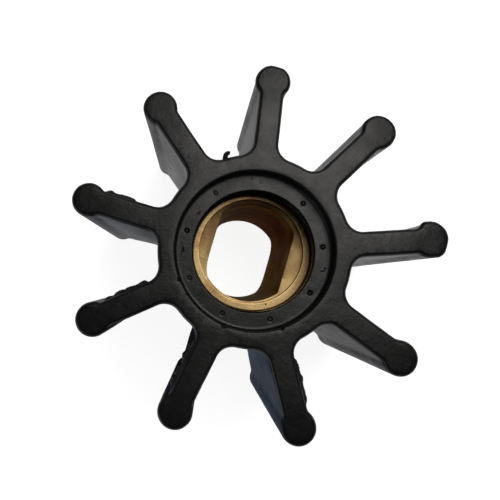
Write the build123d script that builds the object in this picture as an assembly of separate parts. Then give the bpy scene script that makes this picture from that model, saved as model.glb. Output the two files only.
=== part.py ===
from build123d import *
import math
import os

# Flexible pump impeller: one rubber moulding, a hub with straight radial blades that end in round
# bulbs, bonded around a brass drive bush with a two-flat bore. Sizes are in millimetres.
# The origin is on the shaft axis in the plane of the back end face, and +Z runs along the shaft
# to the front end face. The flats of the bore face +X and -X, midway between two blades.

# Rubber body, overall
outer_diameter = 65.0
width = 50.0
edge_round = 0.7

# Blades
blade_count = 9
blade_thickness = 4.4
bulb_diameter = 6.0
bulb_fillet = 1.5
root_fillet = 2.8

# Two-flat bore of the brass bush, with a round counterbore at each mouth
bore_diameter = 17.8
bore_across_flats = 14.0
counterbore_step = 0.75
counterbore_depth = 0.8

# Brass bush, sunk below both end faces by the same depth
bush_wall = 1.6
bush_inset = 9.2
bush_chamfer = 0.2

# Blind grooves along the outside of the bush, where the rubber keys into the brass
key_count = 12
key_width = 1.6
key_depth = 0.5
key_end_margin = 4.0

# Both ends of the hub: a recessed ring around the bush, and the raised rim around the ring
ring_width = 3.0
rim_width = 3.0
recess_depth = 3.0
recess_lip_round = 0.25
recess_floor_round = 0.4

# Small moulded pips in dimples on the front recessed ring, one in line with each blade
pip_diameter = 0.7
pip_height = 0.1
dimple_diameter = 1.3
dimple_depth = 0.2

# Sizes that follow from the ones above
bush_radius = bore_diameter / 2 + bush_wall
bush_length = width - 2 * bush_inset
recess_radius = bush_radius + ring_width
hub_radius = recess_radius + rim_width
pip_circle_radius = (bush_radius + recess_radius) / 2
ring_floor = width - recess_depth
bulb_radius = bulb_diameter / 2
tip_centre_radius = outer_diameter / 2 - bulb_radius
half_blade = blade_thickness / 2
blade_pitch = 360 / blade_count
first_blade_angle = blade_pitch / 2

# Two root fillets share the arc of hub between a pair of blades, so neither may pass its middle
gap_sine = math.sin(math.radians(blade_pitch / 2))
largest_root_fillet = (hub_radius * gap_sine - half_blade) / (1 - gap_sine)

# Solids of revolution are drawn from their lower end upward
upward = (Align.CENTER, Align.CENTER, Align.MIN)


def on_each_blade(shape, radius, height=0):
    """A copy of the shape on the centre line of every blade, at this radius and height."""
    places = PolarLocations(radius, blade_count, start_angle=first_blade_angle)
    return [Pos(0, 0, height) * place * shape for place in places]


def corners_at(outline, distance):
    """The corners of a flat outline that lie at this distance from the axis."""
    return [v for v in outline.vertices() if abs(Vector(v).length - distance) < 1e-4]


def impeller_outline():
    """Hub, blades and bulbs in plan, with fillets at the blade roots and behind the bulbs."""
    hub = Rot(0, 0, first_blade_angle) * Circle(hub_radius)
    blade = Rectangle(tip_centre_radius, blade_thickness, align=(Align.MIN, Align.CENTER))
    outline = hub + on_each_blade(blade, 0) + on_each_blade(Circle(bulb_radius), tip_centre_radius)
    outline = fillet(corners_at(outline, hub_radius), min(root_fillet, 0.95 * largest_root_fillet))
    shoulder_along_blade = tip_centre_radius - math.sqrt(bulb_radius**2 - half_blade**2)
    shoulder_distance = math.hypot(shoulder_along_blade, half_blade)
    return fillet(corners_at(outline, shoulder_distance), bulb_fillet)


def moulded_block():
    """The outline at its full width, with both end faces rounded over along their outer edge."""
    block = extrude(impeller_outline(), width)
    edges = block.edges()
    end_edges = edges.filter_by_position(Axis.Z, 0, 0) + edges.filter_by_position(Axis.Z, width, width)
    return fillet(end_edges, edge_round)


def recess_cutter():
    """What the front recess takes out of the body, with its floor corner rounded."""
    cutter = Cylinder(recess_radius, recess_depth, align=upward)
    cutter = fillet(cutter.edges().sort_by(Axis.Z)[0], recess_floor_round)
    return Pos(0, 0, ring_floor) * cutter


def with_recesses(body):
    """The body with a round recess in each end, and the lips of the recesses rounded."""
    front = recess_cutter()
    body -= front
    body -= mirror(front, about=Plane.XY.offset(width / 2))
    circles = body.edges().filter_by(GeomType.CIRCLE)
    mouths = circles.filter_by_position(Axis.Z, 0, 0) + circles.filter_by_position(Axis.Z, width, width)
    lips = [edge for edge in mouths if abs(edge.radius - recess_radius) < 1e-4]
    return fillet(lips, recess_lip_round)


def ring_dimples():
    """What the dimples take out of the recessed ring, each around a pip that is left standing."""
    dimple = Cylinder(dimple_diameter / 2, dimple_depth, align=upward)
    pip = Cylinder(pip_diameter / 2, dimple_depth, align=upward)
    return on_each_blade(dimple - pip, pip_circle_radius, ring_floor - dimple_depth)


def pip_caps():
    """The part of each pip that stands above the recessed ring."""
    cap = Cylinder(pip_diameter / 2, pip_height, align=upward)
    return on_each_blade(cap, pip_circle_radius, ring_floor)


def rubber_keys():
    """Ribs of rubber that fill the grooves along the outside of the bush."""
    rib = Box(2 * key_depth, key_width, bush_length - 2 * key_end_margin, align=upward)
    places = PolarLocations(bush_radius, key_count)
    return [Pos(0, 0, bush_inset + key_end_margin) * place * rib for place in places]


def rubber_impeller_body():
    body = with_recesses(moulded_block())
    body -= ring_dimples()
    body += pip_caps()
    centre_hole = Cylinder(bush_radius, width, align=upward) - rubber_keys()
    return body - centre_hole


def two_flat_bore():
    """The bore, a circle cut by two flats, along the whole bush."""
    section = Circle(bore_diameter / 2) & Rectangle(bore_across_flats, bore_diameter)
    return Pos(0, 0, bush_inset) * extrude(section, bush_length)


def brass_drive_bush():
    bush = Pos(0, 0, bush_inset) * Cylinder(bush_radius, bush_length, align=upward)
    bush = chamfer(bush.edges().filter_by(GeomType.CIRCLE), bush_chamfer)
    bush -= two_flat_bore()
    counterbore = Cylinder(bore_diameter / 2 + counterbore_step, counterbore_depth, align=upward)
    bush -= Pos(0, 0, bush_inset) * counterbore
    bush -= Pos(0, 0, width - bush_inset - counterbore_depth) * counterbore
    return bush - rubber_keys()


sub_parts = {
    "rubber_impeller_body": rubber_impeller_body(),
    "brass_drive_bush": brass_drive_bush(),
}
os.makedirs("parts", exist_ok=True)
for node, solid in sub_parts.items():
    export_step(solid, f"parts/{node}.step")
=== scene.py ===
import math

import bmesh
import bpy
from mathutils import Matrix, Quaternion, Vector, noise
from mathutils.geometry import delaunay_2d_cdt
from mathutils.kdtree import KDTree


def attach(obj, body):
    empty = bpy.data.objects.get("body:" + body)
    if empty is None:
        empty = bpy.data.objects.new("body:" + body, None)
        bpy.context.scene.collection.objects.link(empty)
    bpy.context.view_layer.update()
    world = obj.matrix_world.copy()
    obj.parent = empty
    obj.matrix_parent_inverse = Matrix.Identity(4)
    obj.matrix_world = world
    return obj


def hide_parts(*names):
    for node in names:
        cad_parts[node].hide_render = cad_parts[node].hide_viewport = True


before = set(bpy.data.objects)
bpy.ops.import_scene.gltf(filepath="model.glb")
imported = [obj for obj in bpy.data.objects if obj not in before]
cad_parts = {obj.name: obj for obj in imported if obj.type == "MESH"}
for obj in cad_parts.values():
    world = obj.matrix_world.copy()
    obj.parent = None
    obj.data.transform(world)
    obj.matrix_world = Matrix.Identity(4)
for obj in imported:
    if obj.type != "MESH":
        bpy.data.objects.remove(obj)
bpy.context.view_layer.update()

# The part's sizes, in millimetres. Meshes are made in millimetres and scaled to metres at the end.
MM = 0.001
WIDTH = 50.0
EDGE_ROUND = 0.7
BLADES = 9
PITCH = 360 / BLADES
FIRST_BLADE = PITCH / 2
HUB_R = 16.5
HALF_BLADE = 2.2
ROOT_R = 2.8
SHOULDER_R = 1.5
BULB_R = 3.0
TIP_R = 29.5
RECESS_R = 13.5
RECESS_LIP = 0.25
RECESS_DEPTH = 3.0
RING_FLOOR = WIDTH - RECESS_DEPTH
FLOOR_ROUND = 0.4
HOLE_ROUND = 0.18
BUSH_R = 10.5
BUSH_BOTTOM = 9.2
BUSH_TOP = 40.8
BORE_R = 8.9
HALF_FLATS = 7.0
COUNTERBORE_R = 9.65
COUNTERBORE_DEPTH = 0.8
PIP_CIRCLE_R = 12.0

# How far the lips may reach towards +X and +Y, just inside the part's box
REACH_X = 30.7
REACH_Y = 32.03

# The photograph's x axis is this far round from the part's own
PHOTO_TURN = math.radians(16.2)


def part_angle(photo_degrees):
    """The part's angle for a direction seen in the photograph, anticlockwise from its right."""
    return math.radians(photo_degrees) + PHOTO_TURN


def blade_angle(blade):
    """The part's angle of a blade. Blades are counted anticlockwise from the one at 20 degrees."""
    return math.radians(FIRST_BLADE + PITCH * blade)


def nearest_blade(x, y):
    return round((math.degrees(math.atan2(y, x)) - FIRST_BLADE) / PITCH) % BLADES


def polar(radius, angle):
    return radius * math.cos(angle), radius * math.sin(angle)


def smooth(x):
    """0 up to x = 0, 1 from x = 1, and a soft step in between."""
    x = min(max(x, 0.0), 1.0)
    return x * x * (3 - 2 * x)


def noise_at(x, y, z):
    return noise.noise(Vector((x, y, z)))


# Outline


def arc(cx, cy, radius, start, end, steps, outward):
    """Points of an arc in degrees, each with the direction out of the rubber."""
    points = []
    for i in range(steps):
        c, s = polar(1, math.radians(start + (end - start) * i / steps))
        points.append((cx + radius * c, cy + radius * s, outward * c, outward * s))
    return points


def half_blade_path():
    """From the middle of the hub's arc between two blades to the tip, on the blade's left side."""
    root_y = HALF_BLADE + ROOT_R
    root_x = math.sqrt((HUB_R + ROOT_R) ** 2 - root_y**2)
    root_turn = math.degrees(math.atan2(root_y, root_x))
    neck_y = HALF_BLADE + SHOULDER_R
    neck_back = math.sqrt((BULB_R + SHOULDER_R) ** 2 - neck_y**2)
    neck_turn = math.degrees(math.atan2(neck_y, neck_back))
    neck_x = TIP_R - neck_back
    side_steps = 15
    points = arc(0, 0, HUB_R, PITCH / 2, root_turn, 4, 1)
    points += arc(root_x, root_y, ROOT_R, 180 + root_turn, 270, 10, -1)
    for i in range(side_steps):
        points.append((root_x + (neck_x - root_x) * i / side_steps, HALF_BLADE, 0.0, 1.0))
    points += arc(neck_x, neck_y, SHOULDER_R, 270, 360 - neck_turn, 6, -1)
    points += arc(TIP_R, 0, BULB_R, 180 - neck_turn, 0, 18, 1)
    return points


def outline():
    """The whole outline, anticlockwise: x, y, and the direction out of the rubber."""
    left = half_blade_path()
    right = [(x, -y, nx, -ny) for x, y, nx, ny in left]
    blade = right + [(TIP_R + BULB_R, 0.0, 1.0, 0.0)] + left[:0:-1]
    points = []
    for k in range(BLADES):
        c, s = polar(1, blade_angle(k))
        for x, y, nx, ny in blade:
            points.append((x * c - y * s, x * s + y * c, nx * c - ny * s, nx * s + ny * c))
    return points


# Small unevenness


def waviness(x, y, z):
    """How far the moulded side stands back from its true place, since it is never quite straight."""
    slow = noise_at(x * 0.16, y * 0.16, z * 0.05)
    quick = noise_at(x * 0.7 + 9, y * 0.7, z * 0.2)
    return 0.07 + 0.06 * slow + 0.025 * quick


# The unevenness of the front end face fades down the blades' sides over this height
END_WAVE_REACH = 3


def end_wave(x, y):
    """How far the end face sinks below its plane."""
    slow = noise_at(x * 0.11, y * 0.11, 4.0)
    quick = noise_at(x * 0.4, y * 0.4, 11.0)
    return 0.06 + 0.05 * slow + 0.015 * quick


# How far each blade's back end leans round the axis from its front end, in millimetres at the tip,
# anticlockwise from the front
LEANS = (-0.40, -0.35, -0.20, 0.25, 0.55, -0.35, 1.5, -0.35, -0.5)
# What share of its lean a blade's tip moves inward
LEAN_SHORTENS = 0.35
# Over how many millimetres from the hub a blade takes up its lean
LEAN_LENGTH = 11


def lean(x, y, z):
    """The same point of a blade once the blade leans."""
    r = math.hypot(x, y)
    amount = LEANS[nearest_blade(x, y)]
    share = smooth((r - HUB_R - 1) / LEAN_LENGTH) * (1 - z / WIDTH)
    turn = amount * share / TIP_R
    r -= LEAN_SHORTENS * abs(amount) * share
    return (*polar(r, math.atan2(y, x) + turn), z)


# The hole for the bush, and the bush in it, widens by this much near its front end, to the right in the
# photograph. It starts to widen at one height and ends at the other, just below the recessed ring.
BULGE = 0.5
BULGE_TURN = part_angle(-8)
BULGE_START = 30
BULGE_END = 46.8


def bush_wander(angle, z):
    """How far the hole for the bush widens at this angle and height."""
    along = smooth(math.cos(angle - BULGE_TURN))
    return BULGE * along * smooth((z - BULGE_START) / 10) * smooth((BULGE_END - z) / 5)


# Mesh helpers


def add_loop(bm, points):
    return [bm.verts.new(p) for p in points]


def level_loop(bm, angles, radius_at, z):
    """A loop at one height, whose radius depends on the angle."""
    return add_loop(bm, [(*polar(radius_at(a), a), z) for a in angles])


def bridge(bm, lower, upper):
    """Quads between two closed loops, facing outward for an anticlockwise loop going up."""
    n = len(lower)
    for i in range(n):
        j = (i + 1) % n
        bm.faces.new((lower[i], lower[j], upper[j], upper[i]))


def bridge_all(bm, loops):
    for lower, upper in zip(loops, loops[1:]):
        bridge(bm, lower, upper)


def quarter_round(radius, steps):
    """How far out and how far down each point of a rounded edge lies, from the flat to the side."""
    turns = [math.radians(90 * i / steps) for i in range(steps + 1)]
    return [(radius * (1 - math.sin(a)), radius * (1 - math.cos(a))) for a in turns]


# Half the side of the square that holds an end face, in millimetres
GRID_REACH = 34
# Rows of points lie this much closer than the points in a row, for nearly even triangles
ROW_SHARE = 0.87
# How near to the edge of the end face a point may lie, as a share of the spacing
EDGE_SHARE = 0.45


def fill_between(bm, outer, inner, height, up, spacing):
    """Triangles of an end face between its outer and its inner loop, with points of its own inside.
    Each loop is its vertices and, for each, the direction out of the rubber."""
    edge = outer[0] + inner[0]
    outward = outer[1] + inner[1]
    tree = KDTree(len(edge))
    for i, v in enumerate(edge):
        tree.insert((v.co.x, v.co.y, 0), i)
    tree.balance()

    def depth(x, y):
        """Distance from the nearest edge, below zero outside the rubber."""
        near, i, away = tree.find((x, y, 0))
        nx, ny = outward[i]
        return -away if (x - near.x) * nx + (y - near.y) * ny > 0 else away

    flat = [Vector((v.co.x, v.co.y)) for v in edge]
    n, m = len(outer[0]), len(inner[0])
    edges = [(i, (i + 1) % n) for i in range(n)] + [(n + i, n + (i + 1) % m) for i in range(m)]
    half = int(GRID_REACH / spacing)
    for i in range(-half, half + 1):
        for j in range(-half, half + 1):
            x = (i + 0.5 * (j % 2)) * spacing
            y = j * spacing * ROW_SHARE
            if depth(x, y) > spacing * EDGE_SHARE:
                flat.append(Vector((x, y)))
    places, _, faces, sources, _, _ = delaunay_2d_cdt(flat, edges, [], 1, 1e-5, True)
    made = {}
    for face in faces:
        cx = sum(places[i].x for i in face) / 3
        cy = sum(places[i].y for i in face) / 3
        if depth(cx, cy) < 0:
            continue
        corners = []
        for i in face:
            known = [s for s in sources[i] if s < len(edge)]
            if known:
                corners.append(edge[known[0]])
                continue
            if i not in made:
                x, y = places[i]
                made[i] = bm.verts.new((x, y, height(x, y)))
            corners.append(made[i])
        if not up:
            corners.reverse()
        bm.faces.new(corners)


def finish_mesh(bm, name, material, smooth_angle):
    """An object from a mesh in millimetres, smooth except at edges sharper than this angle in degrees."""
    for v in bm.verts:
        v.co *= MM
    mesh = bpy.data.meshes.new(name)
    bm.to_mesh(mesh)
    bm.free()
    obj = bpy.data.objects.new(name, mesh)
    bpy.context.scene.collection.objects.link(obj)
    mesh.materials.append(material)
    mesh.polygons.foreach_set("use_smooth", [True] * len(mesh.polygons))
    mesh.set_sharp_from_angle(angle=math.radians(smooth_angle))
    weighted = obj.modifiers.new("even_normals", "WEIGHTED_NORMAL")
    weighted.keep_sharp = True
    return obj


# Recess

# Small tears at the lip of the recess: angle in the photograph, half width in degrees, depth
NICKS = ((-112, 3.2, 0.55), (-71, 2.6, 0.36), (-158, 2.6, 0.48), (-146, 1.6, 0.16), (-96, 1.2, 0.1))


def lip_push(angle):
    """How far the lip of the recess is worn outward at this angle."""
    push = 0.03 + 0.025 * noise_at(*polar(6, angle), 2.0)
    for centre, spread, depth in NICKS:
        away = math.degrees(math.remainder(angle - part_angle(centre), 2 * math.pi))
        share = smooth(1 - abs(away) / spread)
        ragged = 0.75 + 0.5 * noise_at(away * 1.3, centre, 0.0)
        push += depth * share * ragged
    return push


# Plain moulding marks on the recessed ring: angle in the photograph, radius, turn, length
TICKS = (
    (178.5, 12.0, 90, 1.0),
    (180.5, 12.1, 35, 0.7),
    (-15, 12.3, 20, 0.9),
    (-13, 12.5, 100, 0.6),
    (145, 11.4, 80, 0.9),
    (146.5, 11.5, 0, 0.6),
    (91, 12.6, 95, 0.45),
)
TICK_HEIGHT = 0.07
TICK_HALF_WIDTH = 0.13

# How clearly each blade's pip came out of the mould, with its dimple
PIP_STRENGTHS = (1.0, 0.85, 0.15, 0.5, 0.9, 0.55, 0.6, 0.6, 1.0)
PIPS = [(*polar(PIP_CIRCLE_R, blade_angle(k)), strength) for k, strength in enumerate(PIP_STRENGTHS)]
PIP_HEIGHT = 0.05
PIP_R = 0.24
DIMPLE_DEPTH = 0.15
DIMPLE_START = 0.1
DIMPLE_END = 0.52


def ring_height(x, y):
    """Height of the recessed ring: pips in dimples, plain marks and a slight unevenness."""
    z = -0.02 + 0.015 * noise_at(x * 0.5, y * 0.5, 7.0)
    for px, py, strength in PIPS:
        d = math.hypot(x - px, y - py)
        if d < DIMPLE_END:
            dimple = smooth((DIMPLE_END - d) / 0.22) * smooth((d - DIMPLE_START) / 0.16)
            z -= DIMPLE_DEPTH * strength * dimple
            z += PIP_HEIGHT * strength * smooth((PIP_R - d) / 0.16)
    for angle, radius, turn, length in TICKS:
        a = part_angle(angle)
        mx, my = polar(radius, a)
        ux, uy = polar(1, a + math.radians(turn))
        along = (x - mx) * ux + (y - my) * uy
        across = -(x - mx) * uy + (y - my) * ux
        end_fade = smooth((length / 2 - abs(along)) / 0.15)
        z += TICK_HEIGHT * end_fade * smooth((TICK_HALF_WIDTH - abs(across)) / 0.1)
    return z


# Rubber body


def side_loops(bm, points):
    """Loops up the outside, from the back end face's flat to the front one's."""
    rounding = quarter_round(EDGE_ROUND, 5)
    rows = 28
    levels = rounding + [(0.0, EDGE_ROUND + (WIDTH - 2 * EDGE_ROUND) * j / rows) for j in range(1, rows)]
    levels += [(inset, WIDTH - down) for inset, down in reversed(rounding)]
    loops = []
    for inset, z in levels:
        row = []
        for x, y, nx, ny in points:
            back = inset + waviness(x, y, z)
            low = end_wave(x, y) * smooth((z - WIDTH + END_WAVE_REACH) / END_WAVE_REACH)
            row.append(lean(x - nx * back, y - ny * back, z - low))
        loops.append(add_loop(bm, row))
    return loops


def recess_profile():
    """Radius and depth below the end face, from the lip of a recess to the ring at its floor, and how
    much of the lip's wear reaches each place."""
    wall = RECESS_DEPTH - FLOOR_ROUND - RECESS_LIP
    profile = [(RECESS_R + out, down, 1.0) for out, down in quarter_round(RECESS_LIP, 4)]
    profile += [(RECESS_R, RECESS_LIP + wall * share, 1 - share) for share in (0.15, 0.35, 0.6, 0.85)]
    profile += [(RECESS_R - down, RECESS_DEPTH - out, 0.0) for out, down in quarter_round(FLOOR_ROUND, 4)]
    return profile


def hole_edge():
    """Radius and depth round the edge between the recessed ring and the hole that holds the bush."""
    return [(BUSH_R + out, RECESS_DEPTH + 0.02 + down) for out, down in quarter_round(HOLE_ROUND, 3)]


# The loops round the hub's inside have this many points
AROUND = 756
HUB_ANGLES = [2 * math.pi * i / AROUND for i in range(AROUND)]


def recess_loops(bm):
    """Loops from the front face's inner edge down through the hub to the back face's inner edge."""
    loops = []
    for r, down, worn in recess_profile():
        row = []
        for a in HUB_ANGLES:
            x, y = polar(r + lip_push(a) * worn, a)
            row.append((x, y, WIDTH - down - end_wave(x, y) * smooth(1 - down)))
        loops.append(add_loop(bm, row))
    inner_edge = BUSH_R + HOLE_ROUND
    outer_edge = RECESS_R - FLOOR_ROUND
    rings = 24
    for j in range(1, rings):
        r = outer_edge + (inner_edge - outer_edge) * j / rings
        row = []
        for a in HUB_ANGLES:
            x, y = polar(r, a)
            row.append((x, y, RING_FLOOR + ring_height(x, y) * smooth((outer_edge - r) / 0.15)))
        loops.append(add_loop(bm, row))
    for r, down in hole_edge():
        loops.append(level_loop(bm, HUB_ANGLES, lambda a: r, WIDTH - down))
    # The wall of the hole is uneven above the bush and even behind it
    for down in (4.2, 5.4, 6.8, 8.2):
        z = WIDTH - down

        def uneven_hole(a):
            ripple = 0.04 * noise_at(*polar(9, a), down)
            return BUSH_R + 0.04 + ripple + bush_wander(a, z)

        loops.append(level_loop(bm, HUB_ANGLES, uneven_hole, z))
    for z in (WIDTH - 10, WIDTH / 2, 10, 6):
        loops.append(level_loop(bm, HUB_ANGLES, lambda a: BUSH_R + bush_wander(a, z), z))
    back_recess = [(r, down) for r, down, worn in reversed(recess_profile())]
    for r, down in hole_edge()[::-1] + back_recess:
        loops.append(level_loop(bm, HUB_ANGLES, lambda a: r, down))
    return loops


# Fins of flash: blade, side of it (1 is anticlockwise), where it starts and ends along the blade, how
# far it stands out, and a number that makes its raggedness its own
FLASHES = (
    (4, -1, 21.5, 27.8, 0.58, 1.0),
    (5, -1, 18.4, 27.0, 0.62, 5.0),
    (6, -1, 17.4, 27.2, 0.95, 9.0),
    (7, 1, 18.6, 27.0, 0.62, 13.0),
)
FLASH_STEP = 0.12


def flash_strip(bm, blade, side, start, end, reach, seed):
    """A ragged fin of rubber along a blade's front edge, where the mould closed."""
    c, s = polar(1, blade_angle(blade))
    steps = int((end - start) / FLASH_STEP)
    rows = []
    for i in range(steps + 1):
        u = start + (end - start) * i / steps
        jag = noise_at(u * 0.7, seed, 0.0) + 0.22 * noise_at(u * 2.4, seed, 3.0)
        fade = smooth((u - start) / 0.7) * smooth((end - u) / 1.6)
        out = fade * reach * max(0.3, 0.78 + 0.5 * jag)
        drop = 0.25 + 0.15 * noise_at(u * 2.0, seed, 6.0)
        # Across the blade's side and up from the front end. It starts and ends inside the blade.
        section = (
            (-0.9, -0.75),
            (out * 0.6, -0.7),
            (out, -0.75 - drop),
            (out * 0.6, -1.0 - drop),
            (-0.9, -1.5),
        )
        row = []
        for t, z in section:
            y = side * (HALF_BLADE - 0.1 + t)
            row.append((u * c - y * s, u * s + y * c, WIDTH + z))
        rows.append(add_loop(bm, row))

    def add_face(corners):
        bm.faces.new(corners if side > 0 else corners[::-1])

    for first, second in zip(rows, rows[1:]):
        for i in range(len(first)):
            j = (i + 1) % len(first)
            add_face((first[i], first[j], second[j], second[i]))
    add_face(rows[0][::-1])
    add_face(rows[-1])


# A loose curl of rubber on the hub's front edge: angle in the photograph, radius, depth
CURL = (
    (108.4, 15.9, 1.1),
    (108.1, 16.3, 0.8),
    (107.6, 16.7, 0.7),
    (107.0, 17.0, 0.65),
    (106.2, 17.2, 0.65),
    (105.3, 17.25, 0.65),
    (104.5, 17.15, 0.7),
)
CURL_R = 0.5
CURL_TAPER = 0.3


def curl(bm):
    """A thin curl of rubber, tapering to its end."""
    path = [Vector((*polar(r, part_angle(angle)), WIDTH - down)) for angle, r, down in CURL]
    rows = []
    for i, p in enumerate(path):
        ahead = path[min(i + 1, len(path) - 1)] - path[max(i - 1, 0)]
        turn = ahead.to_track_quat("Z", "Y")
        r = CURL_R * (1 - CURL_TAPER * i / (len(path) - 1))
        rows.append(add_loop(bm, [p + turn @ Vector((*polar(r, math.pi * k / 4), 0)) for k in range(8)]))
    bridge_all(bm, rows)
    bm.faces.new(rows[0][::-1])
    bm.faces.new(rows[-1])


# A lip of rubber that stands out round the front end of a bulb: blade, reach on the clockwise and on
# the anticlockwise side, and from and to which direction round the bulb, in degrees from the blade's own
LIPS = {0: (0.2, 0.42, -78, 118), 1: (0.08, 0.14, -70, 118), 2: (0.16, 0.16, -125, 125)}
LIP_FADE = 12
# A lip starts this far below the front end, and is whole this much higher
LIP_HEIGHT = 2.4
LIP_RISE = 1.7
# The middle of a bulb's end face, up to this distance from its centre, stays where it is
BULB_CORE = 0.5
# The room outside a bulb where it doesn't face a side of the part's box
FREE_ROOM = 9.0


def push_lips(bm):
    """Move the front ends of some bulbs outward. A lip fades where it nears the sides of the part's box."""
    for v in bm.verts:
        x, y, z = v.co
        blade = nearest_blade(x, y)
        near_front = smooth((z - WIDTH + LIP_HEIGHT) / LIP_RISE)
        if blade not in LIPS or near_front == 0:
            continue
        reach, far_reach, start, end = LIPS[blade]
        along = blade_angle(blade)
        cx, cy = polar(TIP_R, along)
        away = math.hypot(x - cx, y - cy)
        if away < BULB_CORE or away > BULB_R + 0.1:
            continue
        dx, dy = (x - cx) / away, (y - cy) / away
        turn = math.degrees(math.remainder(math.atan2(dy, dx) - along, 2 * math.pi))
        out = reach + (far_reach - reach) * smooth((turn + 10) / 70)
        out *= smooth((turn - start) / LIP_FADE) * smooth((end - turn) / LIP_FADE)
        out *= 1 + 0.3 * noise_at(turn * 0.03, blade * 5.0, 1.0)
        room_x = (REACH_X - cx) / dx - BULB_R if dx > 0.05 else FREE_ROOM
        room_y = (REACH_Y - cy) / dy - BULB_R if dy > 0.05 else FREE_ROOM
        room = max(min(room_x, room_y), 0.001)
        # Softly held under both the wanted reach and the room
        out = (max(out, 0.001) ** -2 + room**-2) ** -0.5
        out *= smooth((away - BULB_CORE) / (BULB_R - 1.0)) * near_front
        v.co.x += out * dx
        v.co.y += out * dy


def rubber_body(material):
    bm = bmesh.new()
    points = outline()
    sides = side_loops(bm, points)
    bridge_all(bm, sides)
    inside = recess_loops(bm)
    bridge_all(bm, inside)
    outward = [(nx, ny) for x, y, nx, ny in points]
    inward = [polar(-1, a) for a in HUB_ANGLES]
    front = (sides[-1], outward), (inside[0], inward)
    back = (sides[0], outward), (inside[-1], inward)
    fill_between(bm, *front, lambda x, y: WIDTH - end_wave(x, y), up=True, spacing=1.1)
    fill_between(bm, *back, lambda x, y: 0.0, up=False, spacing=1.6)
    push_lips(bm)
    for flash in FLASHES:
        flash_strip(bm, *flash)
    curl(bm)
    return finish_mesh(bm, "impeller_rubber", material, 35)


# Brass bush

# How far the rounding of the bore's corners reaches deep in the bore, the share of that at the mouth,
# how far down it takes to get there, and the corner that is round up to the mouth
CORNER_BLEND = 1.7
MOUTH_BLEND_SHARE = 0.15
BLEND_DEPTH = 4
WORN_CORNER = part_angle(-158)


def bore_radius(angle, z):
    """Distance of the two-flat bore's wall from the axis. Its corners are rounded deep in the bore,
    and at the front mouth only the worn one is."""
    flat = HALF_FLATS / max(abs(math.cos(angle)), 0.1)
    worn = smooth(1.6 * math.cos(angle - WORN_CORNER))
    deep = smooth((BUSH_TOP - COUNTERBORE_DEPTH - z) / BLEND_DEPTH)
    blend = CORNER_BLEND * max(MOUTH_BLEND_SHARE, worn, deep)
    share = max(blend - abs(flat - BORE_R), 0.0) / blend
    return min(BORE_R, flat) - share**2 * blend / 4


# The front counterbore stands a little off centre, upward and to the right in the photograph
MOUTH_R = 9.5
MOUTH_SHIFT = 0.36
MOUTH_TURN = part_angle(58)


def mouth_radius(angle):
    """Distance of the front counterbore's wall from the axis."""
    away = angle - MOUTH_TURN
    return MOUTH_SHIFT * math.cos(away) + math.sqrt(MOUTH_R**2 - (MOUTH_SHIFT * math.sin(away)) ** 2)


BUSH_ANGLES = [math.radians(1.25 * i) for i in range(288)]


def bush_loops(bm):
    """Loops up the outside, over the bush's front end and down its bore, then over the back end."""
    edge = 0.07
    chamfer = 0.2
    bore_steps = 24

    def circle(r, z):
        return level_loop(bm, BUSH_ANGLES, lambda a: r + bush_wander(a, z), z)

    def bore(gap, z):
        return level_loop(bm, BUSH_ANGLES, lambda a: bore_radius(a, z) + gap, z)

    def mouth(gap, z):
        return level_loop(bm, BUSH_ANGLES, lambda a: mouth_radius(a) + gap, z)

    top, base = BUSH_TOP, BUSH_BOTTOM
    floor = top - COUNTERBORE_DEPTH
    back_floor = base + COUNTERBORE_DEPTH
    loops = [circle(BUSH_R, base + chamfer), circle(BUSH_R, WIDTH / 2), circle(BUSH_R, top - 0.24)]
    loops += [circle(BUSH_R - 0.03, top - 0.13), circle(BUSH_R - chamfer, top)]
    loops += [mouth(0.25, top), mouth(edge, top), mouth(0.02, top - 0.02), mouth(0.0, top - edge)]
    loops += [mouth(0.0, floor + 0.04), mouth(-0.04, floor)]
    loops += [bore(0.03, floor), bore(0.01, floor - 0.01), bore(0.0, floor - 0.03)]
    for j in range(1, bore_steps):
        loops.append(bore(0.0, floor - (floor - back_floor) * j / bore_steps))
    loops += [bore(0.0, back_floor + edge), bore(edge, back_floor)]
    loops += [circle(COUNTERBORE_R - edge, back_floor), circle(COUNTERBORE_R, back_floor - edge)]
    loops += [circle(COUNTERBORE_R, base + edge), circle(COUNTERBORE_R + edge, base)]
    loops.append(circle(BUSH_R - chamfer, base))
    return loops


def brass_bush(material):
    bm = bmesh.new()
    loops = bush_loops(bm)
    bridge_all(bm, loops)
    bridge(bm, loops[-1], loops[0])
    return finish_mesh(bm, "drive_bush_brass", material, 28)


# Materials. Places and distances in them are in metres.


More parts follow.
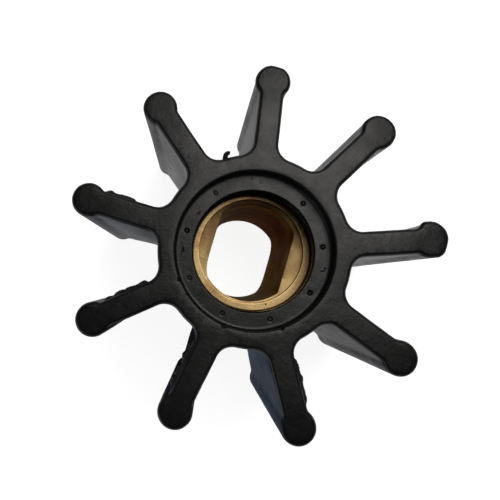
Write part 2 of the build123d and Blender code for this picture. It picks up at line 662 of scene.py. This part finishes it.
class Nodes:
    """A short way to write the nodes of a material or of the world."""

    def __init__(self, owner):
        owner.use_nodes = True
        self.owner = owner
        self.tree = owner.node_tree
        self.tree.nodes.clear()

    def add(self, kind, inputs=(), **settings):
        node = self.tree.nodes.new(kind)
        for key, value in settings.items():
            setattr(node, key, value)
        for socket, value in dict(inputs).items():
            self.put(node, socket, value)
        return node

    def put(self, node, socket, value):
        target = node.inputs[socket]
        if isinstance(value, bpy.types.NodeSocket):
            self.tree.links.new(value, target)
        else:
            target.default_value = value

    def shader(self, kind, inputs=()):
        return self.add(kind, inputs).outputs[0]

    def place(self):
        return self.add("ShaderNodeTexCoord").outputs["Object"]

    def split(self, vector):
        return self.add("ShaderNodeSeparateXYZ", {"Vector": vector}).outputs

    def noise(self, where, scale, detail, rough):
        inputs = {"Vector": where, "Scale": scale, "Detail": detail, "Roughness": rough}
        return self.add("ShaderNodeTexNoise", inputs).outputs["Fac"]

    def math(self, operation, a, b=0.0):
        return self.add("ShaderNodeMath", {0: a, 1: b}, operation=operation).outputs[0]

    def measure(self, operation, vector, other=(0.0, 0.0, 0.0)):
        """A number from two vectors."""
        return self.add("ShaderNodeVectorMath", {0: vector, 1: other}, operation=operation).outputs["Value"]

    def toward(self, where, photo_degrees):
        """How far a place lies from the axis in this direction of the photograph."""
        return self.measure("DOT_PRODUCT", where, (*polar(1, part_angle(photo_degrees)), 0))

    def from_axis(self, parts):
        squares = [self.math("MULTIPLY", parts[i], parts[i]) for i in (0, 1)]
        return self.math("SQRT", self.math("ADD", *squares))

    def spread(self, value, low, high, to_low=0.0, to_high=1.0):
        """A value between low and high, spread over another range and held at its ends."""
        inputs = {"Value": value, "From Min": low, "From Max": high, "To Min": to_low, "To Max": to_high}
        return self.add("ShaderNodeMapRange", inputs, clamp=True).outputs["Result"]

    def band(self, value, outside_low, inside_low, inside_high, outside_high):
        """1 between the inside limits and 0 beyond the outside ones."""
        rise = self.spread(value, outside_low, inside_low)
        return self.math("MULTIPLY", rise, self.spread(value, inside_high, outside_high, 1.0, 0.0))

    def mix(self, share, a, b):
        # A mix node has its colours at inputs 6 and 7 and output 2
        node = self.add("ShaderNodeMix", data_type="RGBA")
        for socket, value in ((0, share), (6, a), (7, b)):
            self.put(node, socket, value)
        return node.outputs[2]

    def bump(self, height, strength, distance, below=None):
        inputs = {"Height": height, "Strength": strength, "Distance": distance}
        if below is not None:
            inputs["Normal"] = below
        return self.add("ShaderNodeBump", inputs).outputs["Normal"]

    def principled(self, **inputs):
        """End a material in a shader with these inputs, written with _ for a space."""
        named = {key.replace("_", " "): value for key, value in inputs.items()}
        return self.end("ShaderNodeOutputMaterial", self.shader("ShaderNodeBsdfPrincipled", named))

    def end(self, kind, surface):
        self.add(kind, {"Surface": surface})
        return self.owner


def rubber_material():
    dark = (0.0034, 0.0033, 0.0036, 1)
    worn = (0.0062, 0.0059, 0.0058, 1)
    dusty = (0.0095, 0.009, 0.0085, 1)
    pale_speck = (0.022, 0.022, 0.021, 1)
    # The brownish tint below is partly a painted reflection of the brass
    brown_painted_light = (0.05, 0.031, 0.012, 1)
    n = Nodes(bpy.data.materials.new("moulded_black_rubber"))
    where = n.place()
    parts = n.split(where)
    radius = n.from_axis(parts)
    cloud = n.noise(where, 90.0, 4.0, 0.6)
    blotch = n.noise(where, 350.0, 5.0, 0.65)
    grain = n.noise(where, 2600.0, 2.0, 0.5)
    speck = n.noise(where, 5200.0, 1.0, 0.5)
    color = n.mix(n.spread(cloud, 0.35, 0.68), dark, worn)
    color = n.mix(n.spread(blotch, 0.5, 0.75, 0.0, 0.5), color, dusty)
    color = n.mix(n.spread(speck, 0.68, 0.78, 0.0, 0.35), color, pale_speck)
    rough = n.spread(blotch, 0.3, 0.7, 0.35, 0.44)
    rough = n.math("ADD", rough, n.spread(cloud, 0.3, 0.7, -0.03, 0.03))
    normal = n.bump(grain, 0.2, 0.00008)
    normal = n.bump(blotch, 0.22, 0.0002, normal)
    normal = n.bump(cloud, 0.3, 0.0006, normal)
    # The narrow wall of the hole above the brass is dull, and tinted brownish there: partly its own tint,
    # partly a painted reflection of the brass
    dull = n.spread(radius, 0.01058, 0.0107, 1.0, 0.0)
    near_brass = n.band(parts[2], 0.039, 0.0395, 0.0409, 0.0432)
    color = n.mix(n.math("MULTIPLY", dull, near_brass), color, brown_painted_light)
    # The dimples round the pips are dull too
    dimple = n.band(parts[2], 0.0465, 0.0466, 0.04687, 0.04693)
    on_ring = n.spread(radius, 0.0131, 0.0132, 0.9, 0.0)
    dull = n.math("MAXIMUM", dull, n.math("MULTIPLY", dimple, on_ring))
    rough = n.math("MAXIMUM", rough, n.math("MULTIPLY", dull, 0.8))
    # The bulbs shine a little less than the hub
    shine = n.math("SUBTRACT", n.spread(radius, 0.0235, 0.0275, 0.5, 0.37), n.math("MULTIPLY", dull, 0.42))
    return n.principled(Base_Color=color, Roughness=rough, Normal=normal, Specular_IOR_Level=shine)


def brass_material():
    clean = (0.78, 0.55, 0.25, 1)
    tarnish = (0.58, 0.36, 0.15, 1)
    spotted = (0.42, 0.25, 0.10, 1)
    # A pale colour for painted highlights
    painted_glint = (0.95, 0.80, 0.50, 1)
    # The ledges' colour is partly their own tint and partly painted shade
    ledge_tint_and_shade = (0.085, 0.042, 0.018, 1)
    # The bore's colours below are partly painted shade and painted light: lighter on its lower side and
    # near its mouth, where light falls
    lit_side_olive = (0.125, 0.098, 0.04, 1)
    brown_painted_light = (0.085, 0.04, 0.018, 1)
    mouth_painted_light = (0.34, 0.21, 0.09, 1)
    speck_color = (0.03, 0.02, 0.012, 1)
    matt = (0.45, 0.28, 0.12, 1)
    n = Nodes(bpy.data.materials.new("turned_brass"))
    where = n.place()
    parts = n.split(where)
    radius = n.from_axis(parts)
    up = n.toward(where, 90)
    from_middle = n.math("ABSOLUTE", n.math("SUBTRACT", parts[2], WIDTH / 2 * MM))
    along = n.add("ShaderNodeCombineXYZ", {"X": radius, "Y": 0.0, "Z": parts[2]}).outputs[0]
    turned = n.noise(along, 9000.0, 2.0, 0.6)
    stain = n.noise(where, 260.0, 4.0, 0.6)
    fine = n.noise(where, 1800.0, 3.0, 0.6)
    glint = n.noise(where, 3600.0, 2.0, 0.6)
    color = n.mix(n.spread(stain, 0.42, 0.72), clean, tarnish)
    color = n.mix(n.spread(fine, 0.5, 0.72, 0.0, 0.45), color, spotted)
    # Pale specks are painted highlights, glints on the grainy brass
    color = n.mix(n.spread(glint, 0.55, 0.7, 0.0, 0.6), color, painted_glint)
    # The ledges beside the flats are painted browner than the end face: partly their own tint, and, more so
    # towards the top of the front view, painted shade
    sunk = n.spread(from_middle, 0.01515, 0.0157, 1.0, 0.0)
    color = n.mix(n.math("MULTIPLY", sunk, n.spread(up, -0.004, 0.0085, 0.25, 1.0)), color, ledge_tint_and_shade)
    # The bore is painted dark and brownish. This is partly the brass's own tarnish and partly painted
    # shade, which is deepest towards the top of the front view and deeper down, so the bore is lighter near
    # its front mouth
    bore = n.spread(from_middle, 0.0146, 0.01495, 1.0, 0.0)
    inside = n.mix(n.spread(up, -0.004, 0.006), lit_side_olive, brown_painted_light)
    inside = n.mix(n.spread(parts[2], 0.033, 0.0395), inside, mouth_painted_light)
    color = n.mix(n.math("MULTIPLY", bore, 0.93), color, inside)
    edge_tint = n.mix(bore, (1.0, 0.95, 0.85, 1), (0.38, 0.27, 0.14, 1))
    # A dark speck on the front end
    dark_speck = n.measure("DISTANCE", where, (0.00534, -0.00816, 0.0408))
    color = n.mix(n.spread(dark_speck, 0.00012, 0.0002), speck_color, color)
    # The counterbore's wall is matt
    wall = n.band(from_middle, 0.01503, 0.0151, 0.0157, 0.01577)
    metal = n.math("SUBTRACT", 1.0, n.math("MULTIPLY", wall, 0.85))
    color = n.mix(wall, color, matt)
    rough = n.spread(stain, 0.3, 0.7, 0.42, 0.54)
    normal = n.bump(turned, 0.25, 0.00003)
    normal = n.bump(fine, 0.3, 0.00006, normal)
    normal = n.bump(glint, 0.3, 0.00003, normal)
    return n.principled(
        Base_Color=color, Metallic=metal, Roughness=rough, Normal=normal, Specular_Tint=edge_tint
    )


def floor_material():
    """Pale floor, white where the camera sees it outside the shadow, and softly bright in reflections."""
    white = (1, 1, 1, 1)
    n = Nodes(bpy.data.materials.new("pale_floor"))
    where = n.place()
    up = n.toward(where, 90)
    right = n.toward(where, 0)
    pale = n.shader("ShaderNodeBsdfDiffuse", {"Color": (0.82, 0.82, 0.82, 1)})
    # Reflections near the part: bluish and dim towards the bottom, brighter towards the right, and dark
    # in one spot below and to the left
    tint = n.mix(n.spread(up, -0.02, 0.0), (0.72, 0.84, 1.15, 1), (0.96, 0.96, 0.98, 1))
    tint = n.mix(n.spread(right, 0.006, 0.014), tint, (0.97, 0.96, 0.97, 1))
    strength = n.spread(up, -0.026, 0.012, 0.22, 0.62)
    strength = n.math("ADD", strength, n.spread(right, 0.008, 0.026, 0.0, 0.36))
    away = n.measure("DISTANCE", where, (*polar(0.028, part_angle(-141)), 0))
    strength = n.math("MULTIPLY", strength, n.spread(away, 0.0095, 0.0165, 0.04, 1.0))
    uneven = n.spread(n.noise(where, 120.0, 3.0, 0.6), 0.35, 0.65, 0.7, 1.2)
    strength = n.math("MULTIPLY", strength, uneven)
    # Far from the part they are plain white
    far = n.spread(n.measure("LENGTH", where), 0.055, 0.16)
    near_strength = n.math("MULTIPLY", strength, n.math("SUBTRACT", 1.0, far))
    strength = n.math("ADD", near_strength, n.math("MULTIPLY", far, 0.8))
    tint = n.mix(far, tint, white)
    mirrored = n.shader("ShaderNodeEmission", {"Color": tint, "Strength": strength})
    # To the camera the floor is white, and a little darker only in the object's shadow
    glow = n.shader("ShaderNodeEmission", {"Color": white, "Strength": n.spread(far, 0.0, 1.0, 0.9, 1.0)})
    seen = n.shader("ShaderNodeAddShader", {0: glow, 1: pale})
    rays = n.add("ShaderNodeLightPath").outputs
    surface = n.shader("ShaderNodeMixShader", {0: rays["Is Glossy Ray"], 1: pale, 2: mirrored})
    surface = n.shader("ShaderNodeMixShader", {0: rays["Is Camera Ray"], 1: surface, 2: seen})
    # From below it lets everything through, so that the back end can be seen
    below = n.add("ShaderNodeNewGeometry").outputs["Backfacing"]
    clear = n.shader("ShaderNodeBsdfTransparent")
    surface = n.shader("ShaderNodeMixShader", {0: below, 1: surface, 2: clear})
    return n.end("ShaderNodeOutputMaterial", surface)


# Pieces
rubber = rubber_body(rubber_material())
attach(rubber, "root")
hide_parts("rubber_impeller_body")

brass = brass_bush(brass_material())
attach(brass, "root")
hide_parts("brass_drive_bush")

# Floor: half its side, and how far it lies below the part, in metres
FLOOR_REACH = 1.5
FLOOR_DROP = 0.0002
floor_mesh = bpy.data.meshes.new("floor")
floor_signs = ((-1, -1), (1, -1), (1, 1), (-1, 1))
floor_corners = [(FLOOR_REACH * i, FLOOR_REACH * j, -FLOOR_DROP) for i, j in floor_signs]
floor_mesh.from_pydata(floor_corners, [], [(0, 1, 2, 3)])
floor = bpy.data.objects.new("floor", floor_mesh)
bpy.context.scene.collection.objects.link(floor)
floor_mesh.materials.append(floor_material())

# Camera, fitted to the blade tips, the bore's two ends and the recess in the photograph. Its turn is an
# axis times an angle, and its offset is the middle of the part's front end seen from it, in millimetres.
PHOTO_SIZE = 500
FOCAL_PIXELS = 580
CENTRE_X, CENTRE_Y = 186.2, 206.7
SENSOR = 36
CAMERA_TURN = Vector((-0.12475, -0.0149, -0.01347))
CAMERA_OFFSET = Vector((11.541, -7.229, -97.055))

to_camera = Quaternion(CAMERA_TURN.normalized(), CAMERA_TURN.length).to_matrix()
part_to_camera = to_camera @ Matrix.Rotation(-PHOTO_TURN, 3, "Z")
offset = CAMERA_OFFSET - to_camera @ Vector((0, 0, WIDTH))
camera_data = bpy.data.cameras.new("camera")
camera_data.sensor_width = SENSOR
camera_data.lens = FOCAL_PIXELS * SENSOR / PHOTO_SIZE
camera_data.shift_x = (PHOTO_SIZE / 2 - CENTRE_X) / PHOTO_SIZE
camera_data.shift_y = (CENTRE_Y - PHOTO_SIZE / 2) / PHOTO_SIZE
camera_data.clip_start = 0.005
camera_data.clip_end = 10
camera = bpy.data.objects.new("camera", camera_data)
camera_place = part_to_camera.transposed().to_4x4()
camera_place.translation = -(part_to_camera.transposed() @ offset) * MM
camera.matrix_world = camera_place
bpy.context.scene.collection.objects.link(camera)
bpy.context.scene.camera = camera


# Light
def area_light(name, photo_degrees, height_degrees, distance, size, watts, color):
    """A square soft light seen from the part in this direction of the photograph."""
    across, up = polar(1, math.radians(height_degrees))
    direction = Vector((*polar(across, part_angle(photo_degrees)), up))
    light = bpy.data.lights.new(name, "AREA")
    light.shape = "SQUARE"
    light.size = size
    light.energy = watts
    light.color = color
    obj = bpy.data.objects.new(name, light)
    bpy.context.scene.collection.objects.link(obj)
    obj.location = direction * distance
    obj.rotation_mode = "QUATERNION"
    obj.rotation_quaternion = direction.to_track_quat("Z", "Y")


# Direction in the photograph and height over the horizon in degrees, distance, size, watts, colour
area_light("window", 50, 73.9, 0.273, 0.11, 0.118, (1.0, 0.98, 0.95))
area_light("far_window", 70, 62, 0.6, 0.34, 0.47, (1.0, 0.98, 0.95))
area_light("side_sky", 215, 14, 0.6, 0.34, 0.45, (0.93, 0.96, 1.0))

# World: white to the camera, a faint fill light, and in reflections a pale horizon that fades upward
FILL = 0.02
world = bpy.data.worlds.new("studio")
bpy.context.scene.world = world
sky = Nodes(world)
sky_rays = sky.add("ShaderNodeLightPath").outputs
sky_height = sky.split(sky.add("ShaderNodeTexCoord").outputs["Generated"])["Z"]
horizon_inputs = {0: sky.spread(sky_height, 0.05, 0.3, 0.6, 0.0), 1: sky_rays["Is Glossy Ray"], 2: FILL}
horizon = sky.add("ShaderNodeMath", horizon_inputs, operation="MULTIPLY_ADD").outputs[0]
lit = sky.shader("ShaderNodeBackground", {"Color": (0.92, 0.96, 1.0, 1), "Strength": horizon})
plain = sky.shader("ShaderNodeBackground", {"Color": (1, 1, 1, 1), "Strength": 1.0})
either = sky.shader("ShaderNodeMixShader", {0: sky_rays["Is Camera Ray"], 1: lit, 2: plain})
sky.end("ShaderNodeOutputWorld", either)

bpy.context.scene.view_settings.view_transform = "Standard"
